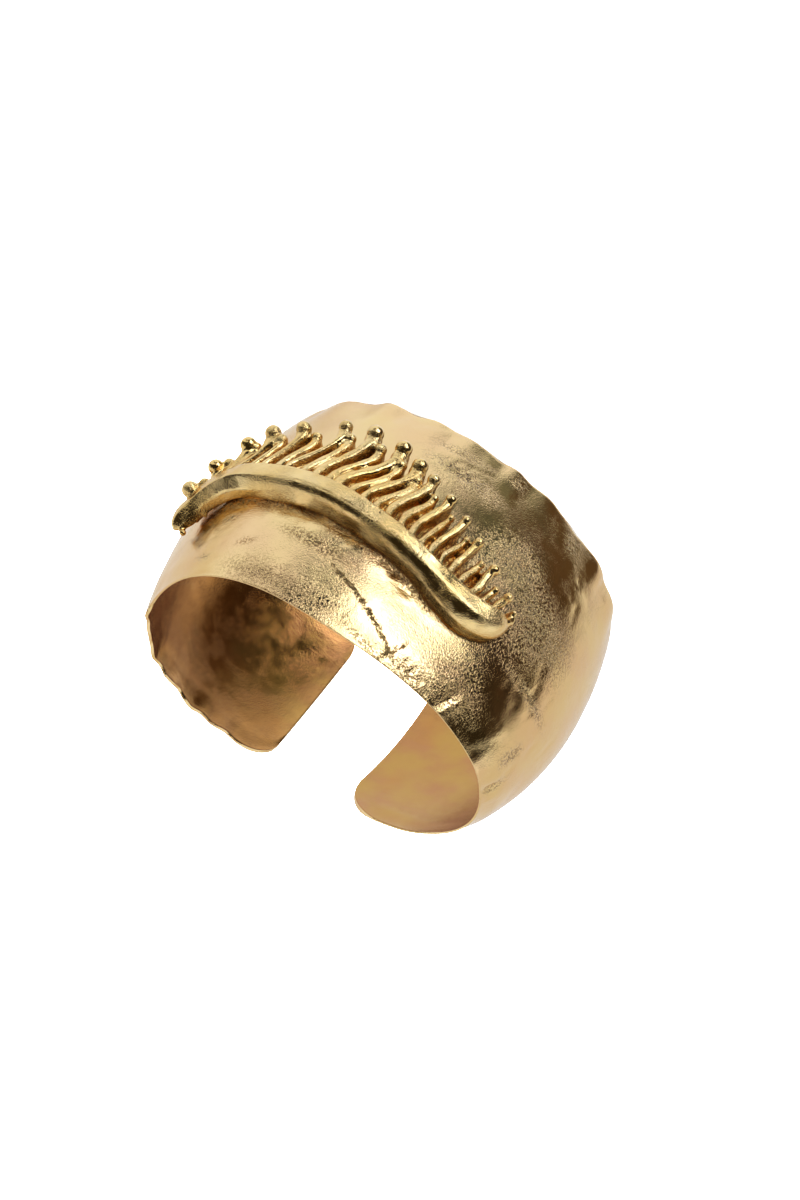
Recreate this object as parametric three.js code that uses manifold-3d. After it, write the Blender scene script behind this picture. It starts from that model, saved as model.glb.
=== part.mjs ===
// An open cuff bracelet: a wide, domed band of hammered sheet with a gap at the back of the wrist, and a
// cast crest on its front, a curved bar with a row of club-ended lashes. The cuff lies on its side. +Z runs
// along the wrist, from the wavy rear edge that it rests on to the smooth front edge, the middle of the
// front faces -Y and the gap faces +Y. Sizes are in millimetres and angles in degrees round the wrist from
// the middle of the front, positive towards +X.
import * as THREE from "three";
import { mergeVertices } from "three/addons/utils/BufferGeometryUtils.js";
import Module from "manifold-3d";

const wasm = await Module();
wasm.setup();

const { clamp, degToRad, lerp, smoothstep } = THREE.MathUtils;

// ---------------------------------------------------------------- band sizes
const SHEET = 1.0;
const ARM_END = 164;
const REAR_CORNER = 5;
const FRONT_CORNER = { positive: 5.5, negative: 8.5 };
const SWELL_HEIGHT = 9;
const BAND_COLUMNS = 84;
const BAND_ROWS = 14;
const END_CROWDING = 0.35;

// Sections of the band's mid-surface: its radius from the wrist's axis at the front and the rear edge, how
// far it domes out beyond the straight line between them, and its width along the wrist.
const SECTIONS = [
  { angle: -164, front: 26.3, rear: 30.4, dome: 2.8, width: 41.8 },
  { angle: -150, front: 28.0, rear: 32.0, dome: 3.4, width: 42.6 },
  { angle: -130, front: 31.6, rear: 35.1, dome: 4.3, width: 44.0 },
  { angle: -110, front: 33.8, rear: 36.9, dome: 3.9, width: 45.3 },
  { angle: -90, front: 32.1, rear: 35.1, dome: 3.3, width: 46.9 },
  { angle: -70, front: 28.0, rear: 31.1, dome: 3.5, width: 48.3 },
  { angle: -45, front: 23.9, rear: 26.8, dome: 2.9, width: 49.8 },
  { angle: -20, front: 22.2, rear: 24.5, dome: 2.4, width: 50.8 },
  { angle: 0, front: 22.4, rear: 24.4, dome: 2.2, width: 50.8 },
  { angle: 20, front: 24.0, rear: 25.8, dome: 2.3, width: 50.4 },
  { angle: 45, front: 26.1, rear: 28.2, dome: 2.6, width: 49.0 },
  { angle: 70, front: 27.8, rear: 30.5, dome: 3.1, width: 46.7 },
  { angle: 90, front: 29.6, rear: 32.8, dome: 3.5, width: 44.8 },
  { angle: 110, front: 30.5, rear: 34.1, dome: 3.4, width: 43.0 },
  { angle: 130, front: 29.3, rear: 33.2, dome: 3.2, width: 41.6 },
  { angle: 150, front: 27.2, rear: 31.4, dome: 2.7, width: 40.6 },
  { angle: 164, front: 26.1, rear: 30.3, dome: 2.5, width: 40.4 },
];

// The hammered rear edge swells outwards in scallops, and lifts off the ground between them.
const REAR_SWELLS = [
  { angle: -118, span: 34, bulge: 0.4 },
  { angle: -84, span: 16, bulge: 0.6 },
  { angle: -72, span: 16, bulge: 0.9 },
  { angle: -46, span: 16, bulge: 0.7 },
  { angle: -32, span: 14, bulge: 1.0 },
  { angle: -11, span: 16, bulge: 0.6 },
  { angle: 4, span: 14, bulge: 0.7 },
  { angle: 24, span: 14, bulge: 0.7 },
  { angle: 42, span: 20, bulge: 0.5 },
  { angle: 86, span: 36, bulge: 0.5 },
];
const REAR_LIFTS = [
  { angle: -96, span: 22, lift: 0.6 },
  { angle: -59, span: 16, lift: 0.7 },
  { angle: -23, span: 10, lift: 0.5 },
  { angle: 13, span: 12, lift: 0.6 },
  { angle: 33, span: 10, lift: 0.3 },
  { angle: 63, span: 20, lift: 0.6 },
  { angle: 108, span: 24, lift: 0.7 },
];
// The front edge is cleanly cut over the front of the wrist and nicked along the arms.
const FRONT_NICKS = [
  { angle: -128, span: 22, drop: 0.3 },
  { angle: 92, span: 9, drop: 0.4 },
  { angle: 104, span: 8, drop: 0.5 },
  { angle: 123, span: 14, drop: 0.6 },
  { angle: 137, span: 10, drop: 0.3 },
];

// --------------------------------------------------------------- crest sizes
const SEAT_GAP = 0.3;
const BAR_SIDES = 12;
const BAR_RINGS = 44;
const BAR_END_SHARE = 0.035;
const BAR_TIP = 0.3;
const LASH_SIDES = 6;
const LASH_COUNT = 30;
const LONG_LASH = { reach: 1, lean: 1, tipLift: 4.8, club: 1.2 };
const SHORT_LASH = { reach: 0.9, lean: 0.8, tipLift: 3.8, club: 0.85 };
const LASH_SHAFT = 0.6;
const LASH_ROOT_LIFT = 3.2;
const FOOT = { angle: 67, height: 35, radius: 0.7 };

// The bar's route over the band: its height along the wrist, its own radius, and how far it stands clear of
// the band beyond its seat.
const BAR = [
  { angle: 68.5, height: 36, radius: 1.7, clear: 0.5 },
  { angle: 66, height: 34.4, radius: 1.8, clear: 0.5 },
  { angle: 62, height: 32.5, radius: 1.9, clear: 0.3 },
  { angle: 56, height: 31.2, radius: 2.1, clear: 0.1 },
  { angle: 47, height: 30.5, radius: 2.3, clear: 0 },
  { angle: 35, height: 30.8, radius: 2.35, clear: 0 },
  { angle: 20, height: 31.1, radius: 2.3, clear: 0 },
  { angle: 4, height: 31.8, radius: 2.25, clear: 0 },
  { angle: -12, height: 32.9, radius: 2.2, clear: 0 },
  { angle: -28, height: 34.5, radius: 2.25, clear: 0 },
  { angle: -40, height: 35.6, radius: 2.5, clear: 0 },
  { angle: -48, height: 35.2, radius: 2.6, clear: 0 },
  { angle: -54, height: 33.2, radius: 2.4, clear: 0 },
  { angle: -57, height: 31.0, radius: 1.9, clear: 0 },
];

// Every second lash and the last: the angle of its root on the bar, how far its tip leans round the wrist
// from there, how far it reaches from the bar towards the rear edge, and how far its middle bows out to one
// side. The lashes between them are read off the curves through these rows.
const LASHES = [
  { lash: 0, root: 65, lean: -1, reach: 6.2, bow: 0 },
  { lash: 2, root: 60, lean: -3.5, reach: 7.4, bow: 0 },
  { lash: 4, root: 54, lean: -4, reach: 10.5, bow: 0 },
  { lash: 6, root: 48.5, lean: -4.5, reach: 12.4, bow: 0 },
  { lash: 8, root: 38.8, lean: -4, reach: 13.9, bow: 0 },
  { lash: 10, root: 30, lean: -6, reach: 15.8, bow: 0 },
  { lash: 12, root: 21, lean: -6, reach: 16.8, bow: 0 },
  { lash: 14, root: 12, lean: -7.5, reach: 16.5, bow: 0.6 },
  { lash: 16, root: 2.2, lean: -6, reach: 15, bow: 1.2 },
  { lash: 18, root: -8, lean: -3, reach: 14.2, bow: 2 },
  { lash: 20, root: -17.8, lean: -2, reach: 13.2, bow: 2 },
  { lash: 22, root: -27, lean: -0.6, reach: 12.3, bow: 2 },
  { lash: 24, root: -35.5, lean: 0.6, reach: 11.2, bow: 1.8 },
  { lash: 26, root: -44, lean: 0.4, reach: 9.5, bow: 1.4 },
  { lash: 28, root: -52, lean: 1, reach: 6, bow: 1 },
  { lash: 29, root: -56, lean: 0.5, reach: 3.4, bow: 0 },
];

// ------------------------------------------------------------ tables to curves
// A smooth curve through one column of a table.
function column(rows, at, name) {
  const ordered = [...rows].sort((a, b) => a[at] - b[at]);
  const stations = ordered.map((row) => row[at]);
  const curve = new THREE.CubicInterpolant(stations, ordered.map((row) => row[name]), 1);
  return (place) => curve.evaluate(clamp(place, stations[0], stations.at(-1)))[0];
}

// The sum of a table's bumps at an angle. Each has its full height at its own angle and is gone half a span
// to either side.
function bumps(rows, name, angle) {
  let sum = 0;
  for (const row of rows) {
    const away = clamp(Math.abs(angle - row.angle) / (row.span / 2), 0, 1);
    sum += (row[name] * (1 + Math.cos(Math.PI * away))) / 2;
  }
  return sum;
}

// ------------------------------------------------------------ the band's shape
const frontRadius = column(SECTIONS, "angle", "front");
const rearRadius = column(SECTIONS, "angle", "rear");
const dome = column(SECTIONS, "angle", "dome");
const width = column(SECTIONS, "angle", "width");
const NUDGE = 0.05;

// How far an edge falls back near an arm's end, where a corner of this radius is rounded off.
function cornerDrop(angle, radius) {
  const toEnd = degToRad(ARM_END - Math.abs(angle)) * frontRadius(angle);
  const inside = clamp(radius - toEnd, 0, radius);
  return radius - Math.sqrt(radius * radius - inside * inside);
}

function rearEdge(angle) {
  return bumps(REAR_LIFTS, "lift", angle) + cornerDrop(angle, REAR_CORNER);
}

function frontEdge(angle) {
  const corner = angle > 0 ? FRONT_CORNER.positive : FRONT_CORNER.negative;
  return width(angle) - bumps(FRONT_NICKS, "drop", angle) - cornerDrop(angle, corner);
}

// A point of the mid-surface, at an angle round the wrist and a height along it.
function surfacePoint(angle, height) {
  const along = height / width(angle);
  const chord = lerp(rearRadius(angle), frontRadius(angle), along);
  const swell = bumps(REAR_SWELLS, "bulge", angle) * (1 - smoothstep(height, 0, SWELL_HEIGHT));
  const radius = chord + dome(angle) * 4 * along * (1 - along) + swell;
  const turn = degToRad(angle);
  return new THREE.Vector3(radius * Math.sin(turn), -radius * Math.cos(turn), height);
}

function roundTangent(angle, height) {
  return surfacePoint(angle + NUDGE, height).sub(surfacePoint(angle - NUDGE, height)).normalize();
}

function surfaceNormal(angle, height) {
  const up = surfacePoint(angle, height + NUDGE).sub(surfacePoint(angle, height - NUDGE));
  return roundTangent(angle, height).cross(up).normalize();
}

// A geometry with its shared vertices merged, so that its faces close up into one body.
function closedBody(geometry) {
  geometry.clearGroups();
  geometry.deleteAttribute("normal");
  geometry.deleteAttribute("uv");
  return mergeVertices(geometry, 1e-4);
}

// The sheet: a grid wrapped round the wrist, its columns crowded towards the rounded ends of the arms.
function bandGeometry() {
  const geometry = new THREE.BoxGeometry(1, 1, 1, BAND_COLUMNS, BAND_ROWS, 1);
  const place = geometry.attributes.position;
  for (let i = 0; i < place.count; i++) {
    const share = place.getX(i) + 0.5;
    const angle = ARM_END * lerp(2 * share - 1, -Math.cos(Math.PI * share), END_CROWDING);
    const height = lerp(rearEdge(angle), frontEdge(angle), place.getY(i) + 0.5);
    const tangent = roundTangent(angle, height);
    const outwards = new THREE.Vector3(tangent.y, -tangent.x, 0);
    const point = surfacePoint(angle, height).addScaledVector(outwards, place.getZ(i) * SHEET);
    place.setXYZ(i, point.x, point.y, point.z);
  }
  return closedBody(geometry);
}

// ----------------------------------------------------------- the crest's shape
const barHeight = column(BAR, "angle", "height");
const barRadius = column(BAR, "angle", "radius");
const barClear = column(BAR, "angle", "clear");
const BAR_START = BAR[0].angle;
const BAR_END = BAR.at(-1).angle;

// A place over the band: an angle, a height along the wrist, and a lift off the mid-surface.
function overBand(angle, height, lift) {
  return surfacePoint(angle, height).addScaledVector(surfaceNormal(angle, height), lift);
}

function barLift(angle) {
  return SHEET / 2 + SEAT_GAP + barClear(angle) + barRadius(angle);
}

// A round rod along a route. Each station gives a share of the route and the rod's radius there, and the
// route gives the angle, height and lift over the band at a share.
function rodGeometry(route, stations, sides) {
  const geometry = new THREE.CylinderGeometry(1, 1, 1, sides, stations.length - 1);
  const place = geometry.attributes.position;
  const pointAt = (share) => overBand(...route(share));
  for (let i = 0; i < place.count; i++) {
    const { share, radius } = stations[Math.round((place.getY(i) + 0.5) * (stations.length - 1))];
    const ahead = pointAt(Math.min(share + 0.01, 1)).sub(pointAt(Math.max(share - 0.01, 0))).normalize();
    const [angle, height] = route(share);
    const side = ahead.clone().cross(surfaceNormal(angle, height)).normalize();
    const lift = side.clone().cross(ahead);
    const point = pointAt(share);
    point.addScaledVector(side, -place.getX(i) * radius).addScaledVector(lift, -place.getZ(i) * radius);
    place.setXYZ(i, point.x, point.y, point.z);
  }
  return closedBody(geometry);
}

// The bar, with both its ends rounded off and its rings closer together there.
function barGeometry() {
  const route = (share) => {
    const angle = lerp(BAR_START, BAR_END, share);
    return [angle, barHeight(angle), barLift(angle)];
  };
  const stations = [];
  for (let ring = 0; ring <= BAR_RINGS; ring++) {
    const turn = (Math.PI * ring) / BAR_RINGS;
    const share = lerp(ring / BAR_RINGS, (1 - Math.cos(turn)) / 2, 0.6);
    const [angle] = route(share);
    const toEnd = clamp(Math.min(share, 1 - share) / BAR_END_SHARE, 0, 1);
    const rounding = Math.sqrt(1 - (1 - toEnd) ** 2);
    stations.push({ share, radius: barRadius(angle) * lerp(BAR_TIP, 1, rounding) });
  }
  return rodGeometry(route, stations, BAR_SIDES);
}

// One lash: out of the bar, over in an S towards its lean, and up to its club.
function lashGeometry(number) {
  const kind = number % 2 === 0 ? LONG_LASH : SHORT_LASH;
  const root = column(LASHES, "lash", "root")(number);
  const lean = column(LASHES, "lash", "lean")(number) * kind.lean;
  const reach = column(LASHES, "lash", "reach")(number) * kind.reach;
  const bow = column(LASHES, "lash", "bow")(number);
  const start = barHeight(root);
  const route = (share) => [
    root + lean * smoothstep(share, 0.1, 0.9) + bow * Math.sin(Math.PI * share),
    start - reach * share,
    lerp(LASH_ROOT_LIFT, kind.tipLift, smoothstep(share, 0.2, 1)),
  ];
  const clubShare = (2 * kind.club) / reach;
  const stations = [
    { share: 0, radius: LASH_SHAFT },
    { share: 0.25, radius: LASH_SHAFT },
    { share: 0.45, radius: LASH_SHAFT },
    { share: 0.65, radius: LASH_SHAFT * 1.1 },
    { share: 1 - clubShare, radius: lerp(LASH_SHAFT, kind.club, 0.45) },
    { share: 1 - clubShare * 0.5, radius: kind.club },
    { share: 1 - clubShare * 0.15, radius: kind.club * 0.8 },
    { share: 1, radius: kind.club * 0.35 },
  ];
  return rodGeometry(route, stations, LASH_SIDES);
}

// The small foot that carries the bar's raised end.
function footGeometry() {
  const top = barLift(FOOT.angle);
  const route = (share) => [FOOT.angle, FOOT.height, lerp(top, SHEET / 2 + SEAT_GAP, share)];
  const geometry = new THREE.CylinderGeometry(FOOT.radius, FOOT.radius, 1, LASH_SIDES, 1);
  const outwards = surfaceNormal(FOOT.angle, FOOT.height);
  const [from, to] = [overBand(...route(0)), overBand(...route(1))];
  geometry.scale(1, from.distanceTo(to), 1);
  geometry.applyQuaternion(new THREE.Quaternion().setFromUnitVectors(THREE.Object3D.DEFAULT_UP, outwards));
  geometry.translate(...from.add(to).multiplyScalar(0.5).toArray());
  return closedBody(geometry);
}

// ------------------------------------------------------------- joining solids
function toManifold(geometry) {
  const vertProperties = new Float32Array(geometry.attributes.position.array);
  const triVerts = new Uint32Array(geometry.index.array);
  return new wasm.Manifold(new wasm.Mesh({ numProp: 3, vertProperties, triVerts }));
}

function toGeometry(manifold) {
  const { vertProperties, triVerts, numProp } = manifold.getMesh();
  const geometry = new THREE.BufferGeometry();
  geometry.setAttribute("position", new THREE.BufferAttribute(vertProperties, numProp));
  geometry.setIndex(new THREE.BufferAttribute(triVerts, 1));
  return geometry;
}

function crestGeometry() {
  let crest = toManifold(barGeometry()).add(toManifold(footGeometry()));
  for (let number = 0; number < LASH_COUNT; number++) {
    crest = crest.add(toManifold(lashGeometry(number)));
  }
  return toGeometry(crest);
}

// ----------------------------------------------------------------- the object
const satinGold = new THREE.MeshStandardMaterial({ color: 0xd8b77c, roughness: 0.38, metalness: 1 });
const polishedGold = new THREE.MeshStandardMaterial({ color: 0xdcae5a, roughness: 0.22, metalness: 1 });

function named(name, geometry, material) {
  geometry.computeVertexNormals();
  const mesh = new THREE.Mesh(geometry, material);
  mesh.name = name;
  return mesh;
}

const cuff = new THREE.Group();
cuff.add(named("cuff_band", bandGeometry(), satinGold));
cuff.add(named("lash_crest", crestGeometry(), polishedGold));

// The origin is under the middle of the whole cuff, on the surface that it rests on.
const box = new THREE.Box3().setFromObject(cuff);
const middle = box.getCenter(new THREE.Vector3());
cuff.position.set(-middle.x, -middle.y, -box.min.z);

export default cuff;
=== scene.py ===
import bmesh
import bpy
import math
import numpy as np
from mathutils import Matrix, Vector


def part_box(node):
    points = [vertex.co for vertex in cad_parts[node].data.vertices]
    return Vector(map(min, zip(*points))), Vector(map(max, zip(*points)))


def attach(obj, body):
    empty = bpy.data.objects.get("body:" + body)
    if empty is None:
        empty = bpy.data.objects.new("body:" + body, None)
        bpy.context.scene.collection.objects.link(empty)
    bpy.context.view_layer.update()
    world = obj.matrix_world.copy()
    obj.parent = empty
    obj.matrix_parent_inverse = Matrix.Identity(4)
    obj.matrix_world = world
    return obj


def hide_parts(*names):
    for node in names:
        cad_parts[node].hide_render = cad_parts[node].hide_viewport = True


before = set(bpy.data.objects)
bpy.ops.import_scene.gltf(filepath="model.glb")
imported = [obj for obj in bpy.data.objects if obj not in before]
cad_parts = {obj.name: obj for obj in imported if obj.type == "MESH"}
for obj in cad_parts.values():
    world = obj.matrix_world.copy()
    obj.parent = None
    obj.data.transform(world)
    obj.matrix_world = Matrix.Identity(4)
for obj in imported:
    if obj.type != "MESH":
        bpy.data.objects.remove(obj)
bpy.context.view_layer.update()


# ------------------------------------------------------------------------------------------- camera
# The camera looks down on the crest and into the open front of the cuff, turned so that the front of the
# wrist is up. It is placed from the wrist's axis, which stands a little off the middle of the band's box.
# AXIS_SHARE is how far across that box the axis stands, in X and in Y.
CAMERA_ROUND = math.radians(-20.05)
CAMERA_ABOVE = math.radians(44.2)
CAMERA_ROLL = math.radians(-141.56)
CAMERA_DISTANCE = 0.3658
CAMERA_ASIDE = -0.00484
CAMERA_UPWARDS = -0.01063
CAMERA_LENS = 62.59
AXIS_SHARE = (0.5189, 0.462)

band_low, band_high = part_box("cuff_band")
wrist_axis = Vector((
    band_low.x + AXIS_SHARE[0] * (band_high.x - band_low.x),
    band_low.y + AXIS_SHARE[1] * (band_high.y - band_low.y),
    0,
))

towards = Vector((
    math.sin(CAMERA_ROUND) * math.cos(CAMERA_ABOVE),
    -math.cos(CAMERA_ROUND) * math.cos(CAMERA_ABOVE),
    math.sin(CAMERA_ABOVE),
))
level_right = Vector((math.cos(CAMERA_ROUND), math.sin(CAMERA_ROUND), 0))
turned = Matrix.Rotation(CAMERA_ROLL, 3, towards)
right = turned @ level_right
upwards = turned @ towards.cross(level_right)

camera = bpy.data.objects.new("camera", bpy.data.cameras.new("camera"))
bpy.context.scene.collection.objects.link(camera)
bpy.context.scene.camera = camera
camera.data.lens = CAMERA_LENS
camera.data.clip_start = 0.01
place = wrist_axis + towards * CAMERA_DISTANCE + right * CAMERA_ASIDE + upwards * CAMERA_UPWARDS
camera.matrix_world = Matrix.Translation(place) @ Matrix((right, upwards, towards)).transposed().to_4x4()


# --------------------------------------------------------------------------------------- cuff_band
# The band is one piece of gold-plated brass sheet, domed over a stake with a hammer and bent round until its
# arms nearly meet. Its rear edge is wavy from the hammering, its front edge has shallow nicks along the arms,
# and the arm ends are rounded. Sizes are in millimetres, angles in degrees round the wrist from its front.
MM = 0.001
SHEET = 1.0
# The front edge is thinner than the sheet, but for the very end of one arm. It is less thin along the other.
THIN_EDGE = 0.42
ARM_EDGE = 0.66
THIN_REACH = 4.5
THIN_RIM = 0.3
THIN_FROM = (-158, -146)
ARM_EDGE_FROM = (70, 90)
ARM_END = 164
REAR_CORNER = 5
# The radius of the front corners, on the arm at positive angles and on the other.
FRONT_CORNER = (5.5, 8.5)
SWELL_HEIGHT = 9
FRONT_SWELL_FROM = 0.86
BAND_COLUMNS = 400
BAND_ROWS = 108
END_CROWDING = 0.35
RIM_BEVEL = 0.2
SQUARE_RIM = 3

# Sections of the middle of the sheet: its radius at the front and the rear edge, how far it domes out between
# them, and its width. They are fitted numbers and not driving sizes, and repeat the rows of the CAD part.
SECTION = ("angle", "front", "rear", "dome", "width")
SECTIONS = [
    (-164, 26.3, 30.4, 2.8, 41.8),
    (-150, 28.0, 32.0, 3.4, 42.6),
    (-130, 31.6, 35.1, 4.3, 44.0),
    (-110, 33.8, 36.9, 3.9, 45.3),
    (-90, 32.1, 35.1, 3.3, 46.9),
    (-70, 28.0, 31.1, 3.5, 48.3),
    (-45, 23.9, 26.8, 2.9, 49.8),
    (-20, 22.2, 24.5, 2.4, 50.8),
    (0, 22.4, 24.4, 2.2, 50.8),
    (20, 24.0, 25.8, 2.3, 50.4),
    (45, 26.1, 28.2, 2.6, 49.0),
    (70, 27.8, 30.5, 3.1, 46.7),
    (90, 29.6, 32.8, 3.5, 44.8),
    (110, 30.5, 34.1, 3.4, 43.0),
    (130, 29.3, 33.2, 3.2, 41.6),
    (150, 27.2, 31.4, 2.7, 40.6),
    (164, 26.1, 30.3, 2.5, 40.4),
]
# The waves of the two edges, each with its angle, its span round the wrist and its size.
REAR_SWELLS = [
    (-118, 34, 0.4), (-84, 16, 0.6), (-72, 16, 0.8), (-46, 16, 0.45), (-32, 14, 0.45),
    (-11, 16, 0.22), (4, 14, 0.3), (24, 14, 0.7), (42, 20, 0.5), (86, 36, 0.5),
]
REAR_LIFTS = [
    (-96, 22, 0.6), (-59, 16, 0.7), (-23, 10, 0.5), (13, 12, 0.6), (33, 10, 0.3), (63, 20, 0.6),
    (108, 24, 0.7),
]
FRONT_NICKS = [
    (-128, 22, 0.3), (84, 8, 0.35), (94, 9, 0.55), (104, 8, 0.5), (114, 9, 0.65), (125, 9, 0.6),
    (136, 10, 0.6), (147, 9, 0.4),
]
FRONT_SWELLS = [
    (90, 10, 0.35), (100, 9, -0.25), (111, 11, 0.4), (122, 10, -0.3), (133, 11, 0.4), (144, 10, -0.25),
]


def column(rows, names, at, name):
    """A smooth curve through one column of a table, flat beyond its ends."""
    ordered = sorted(rows, key=lambda row: row[names.index(at)])
    x = np.array([row[names.index(at)] for row in ordered], float)
    y = np.array([row[names.index(name)] for row in ordered], float)
    steps = np.diff(y) / np.diff(x)
    slope = np.concatenate([steps[:1], (steps[:-1] + steps[1:]) / 2, steps[-1:]])

    def curve(where):
        where = np.clip(where, x[0], x[-1])
        i = np.clip(np.searchsorted(x, where, side="right") - 1, 0, len(x) - 2)
        gap = x[i + 1] - x[i]
        u = (where - x[i]) / gap
        ends = (1 + 2 * u) * (1 - u) ** 2 * y[i] + u * u * (3 - 2 * u) * y[i + 1]
        return ends + gap * (u * (1 - u) ** 2 * slope[i] + u * u * (u - 1) * slope[i + 1])

    return curve


def smoothstep(value, low, high):
    share = np.clip((value - low) / (high - low), 0, 1)
    return share * share * (3 - 2 * share)


def bumps(rows, angle):
    """The sum of a table's bumps at an angle, each gone half a span to either side of its own angle."""
    away = [np.clip(np.abs(angle - at) / (span / 2), 0, 1) for at, span, size in rows]
    return sum(row[2] * (1 + np.cos(np.pi * share)) / 2 for row, share in zip(rows, away))


front_radius = column(SECTIONS, SECTION, "angle", "front")
rear_radius = column(SECTIONS, SECTION, "angle", "rear")
dome = column(SECTIONS, SECTION, "angle", "dome")
width = column(SECTIONS, SECTION, "angle", "width")


def corner_drop(angle, radius):
    to_end = np.radians(ARM_END - np.abs(angle)) * front_radius(angle)
    inside = np.clip(radius - to_end, 0, radius)
    return radius - np.sqrt(radius * radius - inside * inside)


def rear_edge(angle):
    return bumps(REAR_LIFTS, angle) + corner_drop(angle, REAR_CORNER)


def front_edge(angle):
    corner = np.where(angle > 0, *FRONT_CORNER)
    return width(angle) - bumps(FRONT_NICKS, angle) - corner_drop(angle, corner)


def band_point(angle, height):
    """Points of the middle of the sheet, in millimetres from the foot of the wrist's axis."""
    along = height / width(angle)
    chord = rear_radius(angle) * (1 - along) + front_radius(angle) * along
    swell = bumps(REAR_SWELLS, angle) * (1 - smoothstep(height, 0, SWELL_HEIGHT))
    swell = swell + bumps(FRONT_SWELLS, angle) * smoothstep(along, FRONT_SWELL_FROM, 1.0)
    radius = chord + dome(angle) * 4 * along * (1 - along) + swell
    turn = np.radians(angle)
    return np.stack([radius * np.sin(turn), -radius * np.cos(turn), height + 0 * angle], -1)


def unit(vectors):
    return vectors / np.linalg.norm(vectors, axis=-1, keepdims=True)


def band_normal(angle, height, nudge=0.05):
    across = band_point(angle + nudge, height) - band_point(angle - nudge, height)
    along = band_point(angle, height + nudge) - band_point(angle, height - nudge)
    return unit(np.cross(across, along))


def half_sheet(angle, height):
    """Half the sheet's thickness: it was filed thin along the front edge."""
    edge = THIN_EDGE + (ARM_EDGE - THIN_EDGE) * smoothstep(angle, *ARM_EDGE_FROM)
    filed = smoothstep(height, front_edge(angle) - THIN_REACH, front_edge(angle) - THIN_RIM)
    return (SHEET + (edge - SHEET) * filed * smoothstep(angle, *THIN_FROM)) / 2


# The dents. Each is a soft oval hollow, given by its angle, height, depth, length, width and lean, which is
# the way that its length runs, 0 round the wrist and 90 along it. A raised place has a negative depth.
FLUTES = [
    (-60.5, 47.4, 0.20, 3.4, 0.9, 80), (-63.8, 46.4, -0.22, 3.8, 0.7, 78), (-68, 46.2, 0.10, 4.2, 1.4, 80),
    (-74, 45.6, 0.08, 4.6, 1.6, 78), (-80, 45.4, 0.08, 4.4, 1.4, 76), (-87, 45.2, -0.10, 3.4, 0.9, 74),
    (-91, 45.0, -0.10, 3.0, 0.9, 74), (-94.8, 44.6, 0.26, 3.2, 0.8, 72), (-99, 44.4, -0.12, 3.4, 1.0, 72),
]
REAR_FOLDS = [
    (-29.5, 2.0, -0.07, 3.0, 1.1, 80), (-33.5, 1.6, 0.09, 3.4, 1.0, 76), (-39, 2.6, 0.05, 3.2, 1.2, 74),
    (-56, 2.6, -0.08, 3.2, 0.9, 84), (-60.5, 3.2, 0.16, 4.2, 0.8, 80), (-76, 2.6, 0.12, 3.2, 0.8, 84),
    (-12, 5.0, 0.08, 3.4, 0.7, 10), (-19, 6.2, 0.08, 3.0, 0.6, 20), (-14, 9.2, 0.12, 2.0, 0.45, 55),
    (-17.5, 9.6, 0.12, 2.2, 0.45, 50), (-11, 8.4, 0.10, 1.8, 0.4, 60), (4, 1.4, 0.10, 2.6, 1.0, 30),
    (17, 2.0, 0.10, 2.6, 1.0, 70), (-4, 2.2, 0.08, 2.2, 0.8, 80), (52, 2.4, 0.12, 3.0, 0.9, 84),
    (74, 2.8, 0.14, 3.6, 1.0, 80), (98, 2.4, 0.14, 3.2, 0.9, 90), (-106, 2.8, 0.16, 3.6, 1.0, 92),
    (120, 3.0, 0.12, 3.4, 1.0, 86), (-130, 2.6, 0.14, 3.2, 1.0, 88), (142, 2.4, 0.12, 2.8, 0.8, 90),
]
# Two ragged creases. Each opens between its first two ends and closes between its last two.
CREASE_POINT = ("angle", "height")
CREASE = [(2, 40.9), (-6, 42.1), (-13, 43.3), (-20, 44.8), (-27, 46.2), (-34, 47.7), (-40, 48.8)]
CREASE_ENDS = (-39, -33, -3, 3)
SIDE_CREASE = [(-39, 45.4), (-36.5, 47.6), (-34, 50.2)]
SIDE_CREASE_ENDS = (-39, -38, -35, -33.5)
LIMB_STREAKS = [
    (-70, 36.0, 0.14, 1.8, 0.5, 100), (-73, 34.0, 0.17, 2.2, 0.6, 98), (-76, 36.5, 0.12, 1.4, 0.45, 104),
    (-77.5, 31.5, 0.16, 2.0, 0.5, 100), (-81, 34.5, 0.10, 1.6, 0.45, 96), (-74.5, 28.0, 0.13, 1.8, 0.55, 102),
    (-83, 29.5, 0.12, 1.8, 0.45, 98), (-86.5, 33.0, 0.10, 1.6, 0.45, 104), (-88, 38.5, 0.12, 1.6, 0.45, 100),
    (-91, 35.0, 0.10, 1.6, 0.45, 98), (-66, 16.0, 0.10, 2.0, 0.6, 100), (-60, 10.0, 0.10, 2.2, 0.6, 96),
    (-72, 14.0, 0.10, 2.4, 0.6, 102), (-50, 8.0, 0.08, 1.8, 0.6, 98), (-96, 30.0, 0.08, 2.2, 0.5, 100),
    (-95, 43.6, 0.24, 2.4, 0.7, 96), (-92.5, 40.4, 0.15, 1.5, 0.5, 100), (-98, 45.0, 0.12, 1.2, 0.5, 98),
]
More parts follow.
